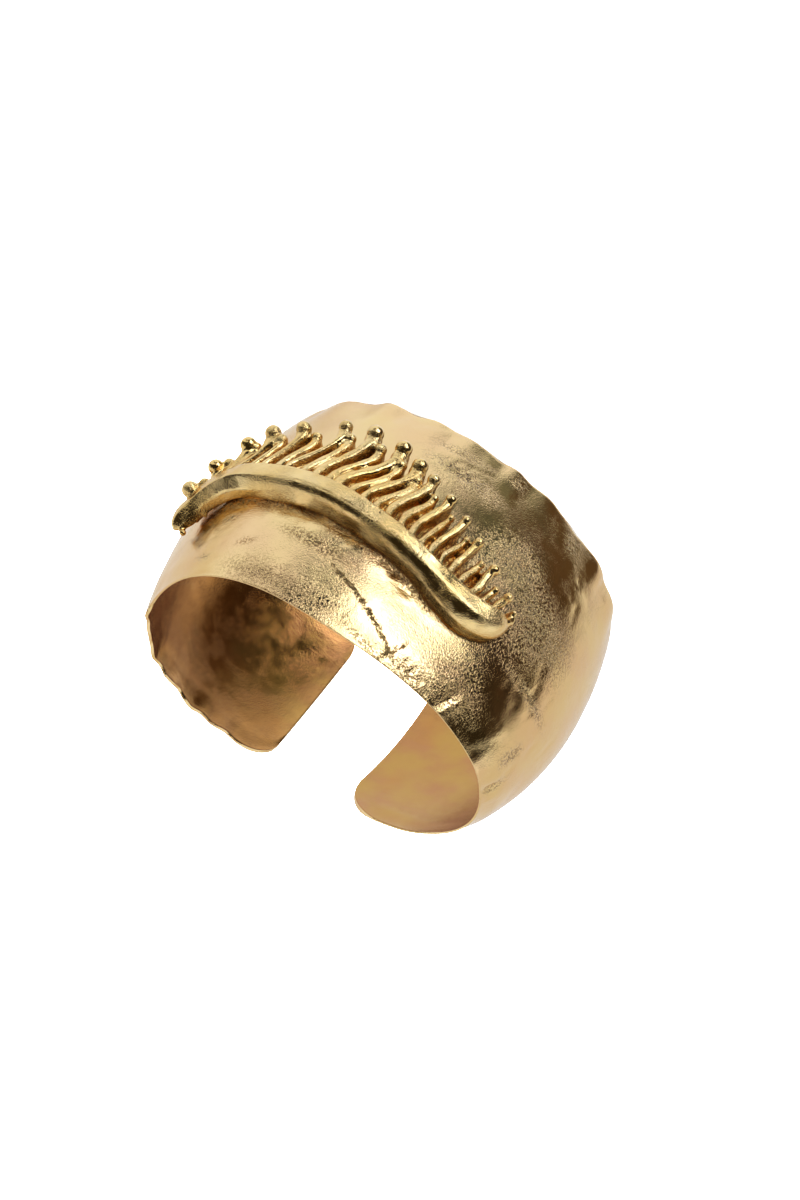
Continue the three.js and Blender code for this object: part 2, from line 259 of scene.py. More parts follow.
# Groups of pits: angle, height, spread round the wrist, spread along it, count, depth, size and lean.
PIT_GROUPS = [
    (8, 38.8, 11, 1.4, 26, 0.07, 0.42, 35),
    (-26, 49.0, 12, 1.0, 18, 0.06, 0.40, 60),
    (-48, 47.6, 9, 1.2, 18, 0.07, 0.42, 75),
    (-78, 33.0, 9, 1.4, 22, 0.08, 0.45, 20),
    (-88, 40.0, 3, 2.2, 12, 0.06, 0.40, 30),
    (44, 41.0, 14, 4.0, 12, 0.06, 0.38, 40),
    (-62, 12.0, 12, 7.0, 40, 0.05, 0.50, 80),
    (-14, 9.0, 9, 2.0, 16, 0.05, 0.42, 50),
    (110, 24.0, 34, 14.0, 50, 0.05, 0.45, 50),
    (-128, 24.0, 28, 14.0, 40, 0.05, 0.45, 50),
]
PIT_DEPTHS = (0.4, 1.3)
PIT_LENGTHS = (1.0, 2.4)
PIT_WIDTHS = (0.7, 1.1)
PIT_TURN = 18
WRINKLE_COUNT = 90
WRINKLE_ENDS = (-34, 52)
WRINKLE_RISE = 1.8
WRINKLE_SPREAD = 1.1
WRINKLE_DEPTHS = (-0.03, 0.09)
WRINKLE_LENGTHS = (0.7, 2.2)
WRINKLE_WIDTHS = (0.35, 0.6)
WRINKLE_TURN = 14
BLOW_COUNT = 240
BLOW_DEPTH = 0.045
BLOW_SIZE = 2.4
SWAY_COUNT = 46
SWAY_DEPTH = 0.12
SWAY_SIZE = 6.5
BLOWS_UP_TO = 50
BLOW_WIDTHS = (0.7, 1.4)
BLOW_DEPTHS = (0.3, 1.3)
BLOW_LENGTHS = (1.0, 1.6)
INSIDE_BLOWS = 0.3
# How far a dent is worked out: up and down in its lengths, and round in degrees for a length of DENT_RADIUS.
DENT_UP = 2.6
DENT_ROUND = 160
DENT_RADIUS = 24
HAMMER_SEED = 11

chance = np.random.default_rng(HAMMER_SEED)


def scattered_pits():
    """Small pits thrown round the middle of each group."""
    dents = []
    for angle, height, round_, along, count, depth, size, lean in PIT_GROUPS:
        for _ in range(count):
            at = angle + round_ * chance.normal() * 0.5
            up = height + along * chance.normal() * 0.5
            dents.append((
                at, up, depth * chance.uniform(*PIT_DEPTHS), size * chance.uniform(*PIT_LENGTHS),
                size * chance.uniform(*PIT_WIDTHS), lean + chance.normal() * PIT_TURN,
            ))
    return dents


def solder_wrinkles():
    """The rough strip under the crest's bar, where the sheet puckered."""
    dents = []
    for _ in range(WRINKLE_COUNT):
        angle = chance.uniform(*WRINKLE_ENDS)
        rise = WRINKLE_RISE + abs(chance.normal()) * WRINKLE_SPREAD
        dents.append((
            angle, bar_height(angle) + rise, chance.uniform(*WRINKLE_DEPTHS),
            chance.uniform(*WRINKLE_LENGTHS), chance.uniform(*WRINKLE_WIDTHS), chance.normal() * WRINKLE_TURN,
        ))
    return dents


def hammer_blows(count, depth, size):
    """Round hollows left all over the sheet by the hammer."""
    dents = []
    for _ in range(count):
        across = size * chance.uniform(*BLOW_WIDTHS)
        dents.append((
            chance.uniform(-ARM_END, ARM_END), chance.uniform(0, BLOWS_UP_TO),
            depth * chance.uniform(*BLOW_DEPTHS), across * chance.uniform(*BLOW_LENGTHS), across,
            chance.uniform(0, 180),
        ))
    return dents


def sunk(dents, angle, height):
    """How deep the dents leave the face at each place."""
    depth = np.zeros_like(height)
    flat_angle, flat_height, flat_depth = angle.ravel(), height.ravel(), depth.ravel()
    reach = rear_radius(flat_angle)
    for at, up, deep, length, wide, lean in dents:
        near_up = np.abs(flat_height - up) < DENT_UP * length
        near_round = np.abs(flat_angle - at) < DENT_ROUND * length / DENT_RADIUS
        near = np.flatnonzero(near_up & near_round)
        across = np.radians(flat_angle[near] - at) * reach[near]
        along = flat_height[near] - up
        turn = math.radians(lean)
        far = (across * math.cos(turn) + along * math.sin(turn)) / length
        off = (along * math.cos(turn) - across * math.sin(turn)) / wide
        flat_depth[near] += deep * np.exp(-far * far - off * off)
    return depth


# The line of the crest's bar over the sheet: its height, its radius and how far it stands off its seat.
BAR_ROW = ("angle", "height", "radius", "clear")
BAR = [
    (68.5, 36.0, 1.70, 0.7),
    (66, 34.4, 1.80, 0.45),
    (62, 32.5, 1.90, 0.15),
    (56, 31.2, 2.10, 0.05),
    (47, 30.5, 2.30, 0.0),
    (35, 30.8, 2.35, 0.0),
    (20, 31.1, 2.30, 0.0),
    (4, 31.8, 2.25, 0.0),
    (-12, 32.9, 2.20, 0.0),
    (-28, 34.5, 2.25, 0.0),
    (-40, 35.6, 2.50, 0.0),
    (-48, 35.2, 2.60, 0.0),
    (-54, 33.2, 2.40, 0.0),
    (-57, 31.0, 1.90, 0.0),
]
bar_height = column(BAR, BAR_ROW, "angle", "height")
bar_radius = column(BAR, BAR_ROW, "angle", "radius")

# Where the sheet is rough: soft spots of puckered and pitted metal, whose broken hollows are also painted
# darker as shade, each with its angle, height, length, width, lean and how rough it is.
WORN_AND_SHADED_SPOTS = [
    (12, 48.5, 8.0, 2.6, 0, 0.5), (28, 47.0, 5.0, 2.4, 0, 0.3), (9, 38.8, 5.5, 1.2, -6, 0.8),
    (-26, 49.6, 4.5, 0.6, -8, 0.5), (-44, 48.6, 5.0, 1.0, 0, 0.5), (-60, 44.0, 5.0, 4.0, 0, 0.6),
    (-48, 20.0, 5.0, 6.0, 0, 0.7), (-62, 26.0, 4.0, 6.0, 0, 0.6), (-72, 24.0, 5.0, 7.0, 0, 0.35),
    (-77, 33.0, 5.5, 0.9, 10, 0.8), (-88, 40.0, 1.2, 3.0, 0, 0.6), (-14, 9.3, 4.2, 1.0, 0, 0.9),
    (-20, 10.0, 5.0, 2.5, 0, 0.5), (-12, 4.6, 4.5, 1.0, 6, 0.6), (-60, 3.0, 1.6, 3.0, 0, 0.3),
    (-34, 2.4, 2.0, 2.0, 0, 0.3), (46, 36.5, 1.4, 0.9, 0, 0.6), (34, 42.0, 1.6, 0.8, 20, 0.5),
    (49, 45.0, 1.6, 0.8, -10, 0.5), (-95, 43.4, 2.4, 0.9, 96, 0.5),
]
# The sheet and its solder swell in front of the bar's foot. The swelling starts round the bar's low end, and
# stops short of its high one.
FOOT_RISE = 0.4
FOOT_REACH = 0.9
FOOT_EDGE = 0.72
FOOT_FRONT = 0.5
FOOT_START = (-4, 6)
FOOT_STOP = (50, 58)
# The puckered strip that runs along the bar, rough, and with painted shade in its hollows.
STRIP_RISE = 2.1
STRIP_WIDTH = 1.1
STRIP_ENDS = (-36, 54)
STRIP_FADE = 3
STRIP_WEAR_AND_SHADE = 0.5


# The inner face is painted brown as shade, in spots with an angle, height, length, width, lean and how brown.
PAINTED_SHADE_SPOTS = [
    (126, 28, 26, 18, 90, 1.0), (96, 22, 16, 18, 0, 0.9), (60, 24, 24, 20, 0, 0.7), (154, 34, 9, 8, 0, 0.8),
    (20, 24, 24, 24, 0, 0.6), (-40, 24, 24, 24, 0, 0.5), (-158, 10, 3, 8, 0, 0.7), (-156, 30, 1.6, 5, 0, 0.4),
    (-120, 44, 8, 2.4, 0, 0.25),
]


def inner_face_painted_shade(angle, height):
    spots = [(at, up, inner_spot_shade, length, wide, lean) for at, up, length, wide, lean, inner_spot_shade in PAINTED_SHADE_SPOTS]
    return np.clip(sunk(spots, angle, height), 0, 1)


def off_crease(points, ends, angle, height):
    """How far each place lies beside a crease, in millimetres, and how open the crease is there."""
    line = column(points, CREASE_POINT, "angle", "height")
    slope = (line(angle + 0.5) - line(angle - 0.5)) / np.radians(rear_radius(angle))
    beside = (height - line(angle)) / np.sqrt(1 + slope * slope)
    opening = smoothstep(angle, ends[0], ends[1]) * (1 - smoothstep(angle, ends[2], ends[3]))
    return beside, opening


def worn_and_shaded(angle, height):
    """How rough the outer face is, with painted shade in its hollows, 0 to 1: the spots, and the puckered
    strip under the crest's bar.
    """
    strip = np.exp(-(((height - bar_height(angle) - STRIP_RISE) / STRIP_WIDTH) ** 2))
    strip *= smoothstep(angle, STRIP_ENDS[0] - STRIP_FADE, STRIP_ENDS[0])
    strip *= 1 - smoothstep(angle, STRIP_ENDS[1], STRIP_ENDS[1] + STRIP_FADE)
    spots = [(at, up, rough, length, wide, lean) for at, up, length, wide, lean, rough in WORN_AND_SHADED_SPOTS]
    return np.clip(sunk(spots, angle, height) + STRIP_WEAR_AND_SHADE * strip, 0, 1)


blows = hammer_blows(BLOW_COUNT, BLOW_DEPTH, BLOW_SIZE) + hammer_blows(SWAY_COUNT, SWAY_DEPTH, SWAY_SIZE)
marks = FLUTES + REAR_FOLDS + LIMB_STREAKS + scattered_pits() + solder_wrinkles()


def foot_rise(angle, height):
    """The swelling of the sheet and solder in front of the bar's foot."""
    before = np.maximum(height - bar_height(angle) - FOOT_EDGE * bar_radius(angle), 0)
    low_end = BAR[-1][0]
    over_bar = smoothstep(angle, low_end + FOOT_START[0], low_end + FOOT_START[1])
    over_bar = over_bar * (1 - smoothstep(angle, *FOOT_STOP))
    in_front = smoothstep(height, bar_height(angle), bar_height(angle) + FOOT_FRONT)
    return FOOT_RISE * np.exp(-before / FOOT_REACH) * over_bar * in_front


SHEET_LAYERS = (
    "wear_and_painted_shade", "inner_face_painted_shade", "beside_crease", "crease_opening", "beside_side_crease", "side_crease_opening",
)


def sheet_face(name, side):
    """One face of the sheet, a grid wrapped round the wrist half a sheet out (1) or in (-1)."""
    face = bmesh.new()
    bmesh.ops.create_grid(face, x_segments=BAND_COLUMNS, y_segments=BAND_ROWS, size=0.5)
    flat = np.array([vertex.co for vertex in face.verts])
    share = flat[:, 0] + 0.5
    angle = ARM_END * ((1 - END_CROWDING) * (2 * share - 1) - END_CROWDING * np.cos(np.pi * share))
    up = flat[:, 1] + 0.5
    height = rear_edge(angle) * (1 - up) + front_edge(angle) * up
    sunken = sunk(blows, angle, height) * (1 if side > 0 else INSIDE_BLOWS)
    sunken = sunken + (sunk(marks, angle, height) if side > 0 else 0)
    lift = side * half_sheet(angle, height) - sunken + (foot_rise(angle, height) if side > 0 else 0)
    points = band_point(angle, height) + band_normal(angle, height) * lift[:, None]
    points[:, 2] = height + (points[:, 2] - height) * smoothstep(height, 0, SQUARE_RIM)
    # Rough places, whose hollows also take painted shade.
    wear_and_painted_shade = worn_and_shaded(angle, height) if side > 0 else 0 * angle
    # How much painted brown shade each place of the inner face takes.
    inner_spot_shade = inner_face_painted_shade(angle, height)
    beside, opening = off_crease(CREASE, CREASE_ENDS, angle, height)
    across, side_opening = off_crease(SIDE_CREASE, SIDE_CREASE_ENDS, angle, height)
    layers = [face.verts.layers.float.new(kind) for kind in SHEET_LAYERS]
    values_of_all = zip(wear_and_painted_shade, inner_spot_shade, beside, opening, across, side_opening)
    for vertex, point, values in zip(face.verts, points, values_of_all):
        vertex.co = Vector(point) * MM + wrist_axis
        for layer, value in zip(layers, values):
            vertex[layer] = value
    if side < 0:
        bmesh.ops.reverse_faces(face, faces=face.faces)
    mesh = bpy.data.meshes.new(name)
    face.to_mesh(mesh)
    face.free()
    return mesh


band = bmesh.new()
band.from_mesh(sheet_face("outer_face", 1))
outer_count = len(band.faces)
band.from_mesh(sheet_face("inner_face", -1))
band.faces.ensure_lookup_table()
for face in band.faces[outer_count:]:
    face.material_index = 1
open_edges = [edge for edge in band.edges if edge.is_boundary]
bmesh.ops.bridge_loops(band, edges=open_edges)
bmesh.ops.bevel(
    band, geom=open_edges, offset=RIM_BEVEL * MM, offset_type="OFFSET", segments=2, profile=0.5,
    affect="EDGES", material=-1, clamp_overlap=True,
)
bmesh.ops.recalc_face_normals(band, faces=band.faces)
for face in band.faces:
    face.smooth = True
band_mesh = bpy.data.meshes.new("hammered_band")
band.to_mesh(band_mesh)
band.free()
band_piece = bpy.data.objects.new("hammered_band", band_mesh)
bpy.context.scene.collection.objects.link(band_piece)


def maths(tree, operation, first, second=0.0):
    node = tree.nodes.new("ShaderNodeMath")
    node.operation = operation
    for socket, value in zip(node.inputs, (first, second)):
        if isinstance(value, bpy.types.NodeSocket):
            tree.links.new(value, socket)
        else:
            socket.default_value = value
    return node.outputs[0]


def fade(tree, value, low, high, start=0.0, end=1.0):
    """start where the value is under low, end where it is over high, and smooth between."""
    node = tree.nodes.new("ShaderNodeMapRange")
    node.interpolation_type = "SMOOTHSTEP"
    node.inputs["From Min"].default_value = low
    node.inputs["From Max"].default_value = high
    node.inputs["To Min"].default_value = start
    node.inputs["To Max"].default_value = end
    tree.links.new(value, node.inputs["Value"])
    return node.outputs[0]


def place_in_mm(tree, stretch=(1, 1, 1)):
    """The piece's own place in millimetres, so a scale of 1 makes lumps about a millimetre wide."""
    place = tree.nodes.new("ShaderNodeTexCoord")
    in_mm = tree.nodes.new("ShaderNodeMapping")
    in_mm.inputs["Scale"].default_value = [share / MM for share in stretch]
    tree.links.new(place.outputs["Object"], in_mm.inputs["Vector"])
    return in_mm.outputs["Vector"]


def noise(tree, place, scale, detail=2.0, roughness=0.5, distortion=0.0):
    lumps = tree.nodes.new("ShaderNodeTexNoise")
    lumps.inputs["Scale"].default_value = scale
    lumps.inputs["Detail"].default_value = detail
    lumps.inputs["Roughness"].default_value = roughness
    lumps.inputs["Distortion"].default_value = distortion
    tree.links.new(place, lumps.inputs["Vector"])
    return lumps.outputs[0]


# Plated skin: the face of every piece is bright but never flat. It has fine sandy grain, slow lumps, and,
# where the metal is worn or puckered, broken hollows. Its Shade paints those hollows darker, as shade.
skin = bpy.data.node_groups.new("plated_skin", "ShaderNodeTree")
for socket in ("Grain", "Lumps", "Hollows", "Wear_and_shade"):
    skin.interface.new_socket(socket, in_out="INPUT", socket_type="NodeSocketFloat")
for socket in ("Height", "Shade"):
    skin.interface.new_socket(socket, in_out="OUTPUT", socket_type="NodeSocketFloat")
skin_in = skin.nodes.new("NodeGroupInput")
skin_out = skin.nodes.new("NodeGroupOutput")
skin_place = place_in_mm(skin)
sand = fade(skin, noise(skin, skin_place, scale=4.6, detail=1.5, roughness=0.6), 0.34, 0.66)
patchy = fade(skin, noise(skin, skin_place, scale=0.23), 0.36, 0.62, start=0.35, end=1.25)
coarser = fade(skin, skin_in.outputs["Wear_and_shade"], 0.0, 1.0, start=1.0, end=1.7)
rise = maths(skin, "MULTIPLY", maths(skin, "MULTIPLY", sand, patchy), skin_in.outputs["Grain"])
rise = maths(skin, "MULTIPLY", rise, coarser)
lumpy = noise(skin, skin_place, scale=0.75, detail=2.5, roughness=0.55)
slow = maths(skin, "MULTIPLY", lumpy, skin_in.outputs["Lumps"])
ragged = noise(skin, skin_place, scale=2.4, detail=3.0, roughness=0.6, distortion=0.4)
broken = fade(skin, ragged, 0.54, 0.36)
hollow = maths(skin, "MULTIPLY", broken, skin_in.outputs["Wear_and_shade"])
fall = maths(skin, "MULTIPLY", hollow, skin_in.outputs["Hollows"])
skin.links.new(maths(skin, "SUBTRACT", maths(skin, "ADD", rise, slow), fall), skin_out.inputs["Height"])
# The hollows' darker tone is painted shade.
skin.links.new(hollow, skin_out.inputs["Shade"])


CREASE_RAGGED = 4.2
CREASE_WIDTH = 0.42
CREASE_DEPTH = 0.16
# How dark a crease is painted, as shade.
CREASE_SHADE = 0.75


def creased(tree, place, height, shade, beside, opening):
    """A crisp ragged crease, cut into a skin's height and painted dark as shade, along the line that two
    attributes give.
    """
    far = tree.nodes.new("ShaderNodeAttribute")
    far.attribute_name = beside
    open_here = tree.nodes.new("ShaderNodeAttribute")
    open_here.attribute_name = opening
    sway = maths(tree, "SUBTRACT", noise(tree, place, scale=1.4, detail=6.0, roughness=0.9), 0.5)
    ragged = maths(tree, "MULTIPLY", sway, CREASE_RAGGED)
    away = maths(tree, "ABSOLUTE", maths(tree, "ADD", far.outputs["Fac"], ragged))
    gaps = fade(tree, noise(tree, place, scale=1.1, detail=5.0, roughness=0.8), 0.42, 0.58)
    cut = fade(tree, away, 0.0, CREASE_WIDTH, start=1.0, end=0.0)
    groove = maths(tree, "MULTIPLY", cut, open_here.outputs["Fac"])
    groove = maths(tree, "MULTIPLY", groove, gaps)
    deeper = maths(tree, "SUBTRACT", height, maths(tree, "MULTIPLY", groove, CREASE_DEPTH))
    return deeper, maths(tree, "MAXIMUM", shade, maths(tree, "MULTIPLY", groove, CREASE_SHADE))


def gold(
    name, pale, rosy, dark, grain, lumps, hollows, rough_low, rough_high, mask, painted_shade_share=0.0, creases=(),
):
    """A plated metal that drifts between two golds, with its own depth of grain, lumps and hollows in
    millimetres. mask names the attribute that says where it is rough and painted with shade, and
    painted_shade_share how far that paints it towards the dark colour, as shade."""
    material = bpy.data.materials.new(name)
    material.use_nodes = True
    tree = material.node_tree
    shader = tree.nodes["Principled BSDF"]
    shader.inputs["Metallic"].default_value = 1
    place = place_in_mm(tree)
    tone = tree.nodes.new("ShaderNodeMix")
    tone.data_type = "RGBA"
    tone.inputs[6].default_value = (*pale, 1)
    tone.inputs[7].default_value = (*rosy, 1)
    drift = noise(tree, place, scale=0.12, detail=3.0, roughness=0.55)
    tree.links.new(fade(tree, drift, 0.3, 0.7), tone.inputs[0])
    surface = tree.nodes.new("ShaderNodeGroup")
    surface.node_tree = skin
    surface.inputs["Grain"].default_value = grain
    surface.inputs["Lumps"].default_value = lumps
    surface.inputs["Hollows"].default_value = hollows
    attribute = tree.nodes.new("ShaderNodeAttribute")
    attribute.attribute_name = mask
    wear_and_painted_shade = attribute.outputs["Fac"]
    tree.links.new(wear_and_painted_shade, surface.inputs["Wear_and_shade"])
    # Where the mask is, cloudy patches are painted towards the dark colour, as shade.
    cloudy = noise(tree, place, scale=0.16, detail=4.0, roughness=0.6)
    patches = fade(tree, cloudy, 0.3, 0.6, start=0.45)
    uneven = maths(tree, "MULTIPLY", wear_and_painted_shade, patches)
    shade = maths(tree, "MAXIMUM", surface.outputs["Shade"], maths(tree, "MULTIPLY", uneven, painted_shade_share))
    height = surface.outputs["Height"]
    for beside, opening in creases:
        height, shade = creased(tree, place, height, shade, beside, opening)
    shaded = tree.nodes.new("ShaderNodeMix")
    shaded.data_type = "RGBA"
    tree.links.new(shade, shaded.inputs[0])
    tree.links.new(tone.outputs[2], shaded.inputs[6])
    shaded.inputs[7].default_value = (*dark, 1)
    tree.links.new(shaded.outputs[2], shader.inputs["Base Color"])
    smears = noise(tree, place, scale=0.35, detail=3.0, roughness=0.6)
    rough = fade(tree, smears, 0.3, 0.7, start=rough_low, end=rough_high)
    tree.links.new(rough, shader.inputs["Roughness"])
    bump = tree.nodes.new("ShaderNodeBump")
    bump.inputs["Distance"].default_value = MM
    tree.links.new(height, bump.inputs["Height"])
    tree.links.new(bump.outputs["Normal"], shader.inputs["Normal"])
    return material


OUTSIDE_PALE = (0.78, 0.57, 0.27)
OUTSIDE_ROSY = (0.77, 0.53, 0.27)
# The inner face's two golds are darkened as painted shade of the enclosed inside.
INSIDE_SHADED_PALE = (0.51, 0.30, 0.09)
INSIDE_SHADED_ROSY = (0.49, 0.245, 0.10)
# The dark of the outer face's hollows and creases, painted there as shade.
HOLLOW_AND_CREASE_SHADE = (0.15, 0.095, 0.04)
# The brown of the inner face's painted shade.
PAINTED_SHADE_BROWN = (0.50, 0.25, 0.075)
# The outer face: its hollows and creases are painted dark as shade.
band_mesh.materials.append(gold(
    "satin_gold_outside", OUTSIDE_PALE, OUTSIDE_ROSY, HOLLOW_AND_CREASE_SHADE, grain=0.012, lumps=0.03, hollows=0.12,
    rough_low=0.07, rough_high=0.12, mask="wear_and_painted_shade", creases=(SHEET_LAYERS[2:4], SHEET_LAYERS[4:6]),
))
# The inner face: its golds are darkened, and brown spots added, as painted shade.
band_mesh.materials.append(gold(
    "inside_gold_with_painted_shade", INSIDE_SHADED_PALE, INSIDE_SHADED_ROSY, PAINTED_SHADE_BROWN, grain=0.01, lumps=0.02, hollows=0.0,
    rough_low=0.16, rough_high=0.26, mask="inner_face_painted_shade", painted_shade_share=1.0,
))
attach(band_piece, "root")
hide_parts("cuff_band")


# --------------------------------------------------------------------------------------- lash_crest
# The crest is one casting, polished: a square-shouldered bar bent to the band, and a row of tall narrow
# lashes that stand on the band and lean out of the bar towards the rear edge. Long and short ones take turns,
# and each ends in a round club. Solder holds the casting on, in beads under the bar's free end.
CREST_VOXEL = 0.215
BAR_SEAT = -0.08
BAR_SCALE = 0.94
BAR_SIDES = 60
BAR_RINGS = 220
# The flat faces of the bar's section, each with the way that it faces, 0 towards the front edge and 90 out of
# the band, and how far out it lies as a share of the bar's radius. The bar's two ends have their own.
BAR_FACES = [(12, 0.86), (30, 0.87), (52, 0.90), (88, 0.91), (185, 0.95), (270, 0.98)]
BAR_LOW_FACES = [(2, 0.92), (30, 0.79), (52, 0.81), (88, 0.92), (185, 0.95), (270, 0.98)]
BAR_HIGH_FACES = [(-12, 0.93), (38, 0.75), (88, 0.93), (185, 0.95), (270, 0.98)]
BAR_BLENDS = (-20, -4, 30, 46)
BAR_TWIST = 5
TWIST_SLOW = 0.21
TWIST_FAST = 0.47
TWIST_FAST_SHARE = 0.6
BAR_CRISPNESS = 22
BAR_END = 0.035
LEAST_NOSE = 0.02
LASH_COUNT = 30
LASH_SIDES = 20
LASH_RINGS = 44
LASH_WIDTH = 0.76
LASH_FACES = [(0, 1), (90, 1), (180, 1), (270, 1)]
LASH_CRISPNESS = 4
LASH_FOOT = 0.42
LASH_TOP = 4.15
LASH_SAG = 0.35
LEAN_OVER = (0.1, 0.9)
TIP_RISE = (0.4, 1)
ROOT_FLARE = 0.22
ROOT_FLARE_AT = 2.2
ROOT_FLARE_LENGTH = 0.7
# A lash widens into its club from the first to the second of these, in club radii before its end.
CLUB_NECK = (3.6, 1.0)
CLUB_NECK_WIDTH = 0.92
CLUB_NOSE = 0.7
FIN_SHORT_OF_TIP = 0.5
FIN_OVER_CLUB = 0.45
# Long and short lashes: shares of their row's reach and lean, the lift of the tip, and shares of its club and
# sway.
LONG_LASH = (1.0, 1.0, 4.7, 1.12, 1.0)
SHORT_LASH = (0.86, 0.8, 3.75, 0.84, 0.8)
LASH_ROW = ("lash", "root", "lean", "reach", "bow", "sway", "club")
LASHES = [
    (0, 64.3, -1, 4.9, 0, 0.2, 1.3),
    (2, 60, -3.5, 6.8, 0, 0.4, 1.2),
    (4, 54, -4, 10.1, 0, 0.7, 1.25),
    (6, 48.5, -4.5, 12.3, 0, 1.0, 1.26),
    (8, 39.4, -4, 13.4, 0, 1.2, 1.2),
    (10, 30, -6, 15.8, 0, 1.3, 1.1),
    (12, 21, -6, 16.8, 0, 1.2, 1.3),
    (14, 12, -7.5, 16.5, 0.6, 1.4, 1.3),
    (16, 2.2, -6, 15, 1.2, 1.4, 1.24),
    (18, -8, -3, 14.2, 2, 1.3, 1.0),
    (20, -17.8, -2, 13.2, 2, 1.0, 0.86),
    (22, -27, -0.6, 12.3, 2, 0.8, 0.74),
    (24, -35.5, 0.6, 11.2, 1.8, 0.7, 0.78),
    (26, -44, 0.4, 9.5, 1.4, 0.5, 0.82),
    (28, -52, 1, 6, 1, 0.3, 0.72),
    (29, -56, 0.5, 3.4, 0, 0, 0.6),
]
WEB_SIDES = 16
WEB_RINGS = 20
WEB_REACH = 0.72
WEB_WIDTH = 1.25
WEB_TOP = (3.1, 1.5)
WEB_NOSE = 0.15
WOBBLE = 0.3
WIDTH_WOBBLE = 0.1
KNOTS = 0.14
KNOTS_FAST = 1.9
KNOTS_SLOW = 0.7
CASTING_SEED = 5
# Solder beads, each with its angle, height, lift off the middle of the sheet and radius.
SOLDER_BEADS = [(66.4, 36.3, 1.5, 0.6), (59.5, 33.6, 0.8, 0.4)]

bar_clear = column(BAR, BAR_ROW, "angle", "clear")


def bar_lift(angle):
    return SHEET / 2 + BAR_SEAT + bar_clear(angle) + bar_radius(angle)


def over_band(angle, height, lift):
    return band_point(angle, height) + band_normal(angle, height) * np.reshape(lift, (-1, 1))


def rod(route, outline, sides, rings):
    """A rod along a route, a cylinder cut into rings and bent. route gives the angle, height and lift at a
    share of the way. outline gives how far each turn of the section lies to the side and out."""
    shaft = bmesh.new()
    bmesh.ops.create_cone(shaft, cap_ends=True, segments=sides, radius1=1, radius2=1, depth=1)
    lengthwise = [edge for edge in shaft.edges if abs(edge.verts[0].co.z - edge.verts[1].co.z) > 0.5]
    bmesh.ops.subdivide_edges(shaft, edges=lengthwise, cuts=rings - 1)
    local = np.array([vertex.co for vertex in shaft.verts])
    share = np.clip(local[:, 2] + 0.5, 0, 1)
    nudge = 0.01
    before = np.maximum(share - nudge, 0)
    after = np.minimum(share + nudge, 1)
    angle, height, lift = route(share)
    ahead = unit(over_band(*route(after)) - over_band(*route(before)))
    side = unit(np.cross(ahead, band_normal(angle, height)))
    out = np.cross(side, ahead)
    aside, outwards = outline(share, np.arctan2(local[:, 1], local[:, 0]))
    points = over_band(angle, height, lift) + side * aside[:, None] + out * outwards[:, None]
    for vertex, point in zip(shaft.verts, points):
        vertex.co = Vector(point) * MM + wrist_axis
    bmesh.ops.recalc_face_normals(shaft, faces=shaft.faces)
    mesh = bpy.data.meshes.new("rod")
    shaft.to_mesh(mesh)
    shaft.free()
    return mesh


def faceted(turn, faces, crispness):
    """How far a section's outline lies from its middle, from the way each face looks and how far out it
    lies. The more crisp, the less its corners are rounded."""
    reached = [np.maximum(np.cos(turn - math.radians(facing)), 0) / far for facing, far in faces]
    return sum(share ** crispness for share in reached) ** (-1 / crispness)


def rounded_end(share, length):
    """1 along a rod, falling to nearly 0 as a round nose does over the last stretch of a share."""
    to_end = np.clip((1 - share) / length, 0, 1)
    return np.sqrt(np.maximum(1 - (1 - to_end) ** 2, LEAST_NOSE))


crest = bmesh.new()


def bar_route(share):
    angle = BAR[0][0] + (BAR[-1][0] - BAR[0][0]) * share
    return angle, bar_height(angle), bar_lift(angle)


def bar_outline(share, turn):
    angle = BAR[0][0] + (BAR[-1][0] - BAR[0][0]) * share
    low_end = 1 - smoothstep(angle, *BAR_BLENDS[:2])
    high_end = smoothstep(angle, *BAR_BLENDS[2:])
    swing = np.sin(TWIST_SLOW * angle) + TWIST_FAST_SHARE * np.sin(TWIST_FAST * angle + 1)
    turn_here = turn + math.radians(BAR_TWIST) * swing
    shape = (1 - low_end - high_end) * faceted(turn_here, BAR_FACES, BAR_CRISPNESS)
    shape = shape + low_end * faceted(turn_here, BAR_LOW_FACES, BAR_CRISPNESS)
    shape = shape + high_end * faceted(turn_here, BAR_HIGH_FACES, BAR_CRISPNESS)
    radius = BAR_SCALE * bar_radius(angle) * shape
    radius = radius * rounded_end(share, BAR_END) * rounded_end(1 - share, BAR_END)
    return radius * np.cos(turn), radius * np.sin(turn)


crest.from_mesh(rod(bar_route, bar_outline, BAR_SIDES, BAR_RINGS))
lash_root = column(LASHES, LASH_ROW, "lash", "root")
lash_lean = column(LASHES, LASH_ROW, "lash", "lean")
lash_reach = column(LASHES, LASH_ROW, "lash", "reach")
lash_bow = column(LASHES, LASH_ROW, "lash", "bow")
lash_sway = column(LASHES, LASH_ROW, "lash", "sway")
lash_club = column(LASHES, LASH_ROW, "lash", "club")
cast_by_hand = np.random.default_rng(CASTING_SEED)


def add_ball(angle, height, lift, radius):
    ball = bmesh.new()
    bmesh.ops.create_icosphere(ball, subdivisions=3, radius=radius * MM)
    middle = Vector(over_band(np.array([angle]), np.array([height]), np.array([lift]))[0]) * MM + wrist_axis
    bmesh.ops.translate(ball, verts=ball.verts, vec=middle)
    mesh = bpy.data.meshes.new("ball")
    ball.to_mesh(mesh)
    ball.free()
    crest.from_mesh(mesh)


def lash_line(number, along, reach, lean, sway, kink=0.0):
    """Where a lash's middle runs: it leaves the bar, leans over and sways on its way to the rear."""
    share = along / reach
    angle = lash_root(number) + lean * smoothstep(share, *LEAN_OVER)
    angle = angle + lash_bow(number) * np.sin(np.pi * share)
    angle = angle + sway * np.sin(2 * np.pi * share) + kink * np.sin(3 * np.pi * share)
    return angle, bar_height(lash_root(number)) - along


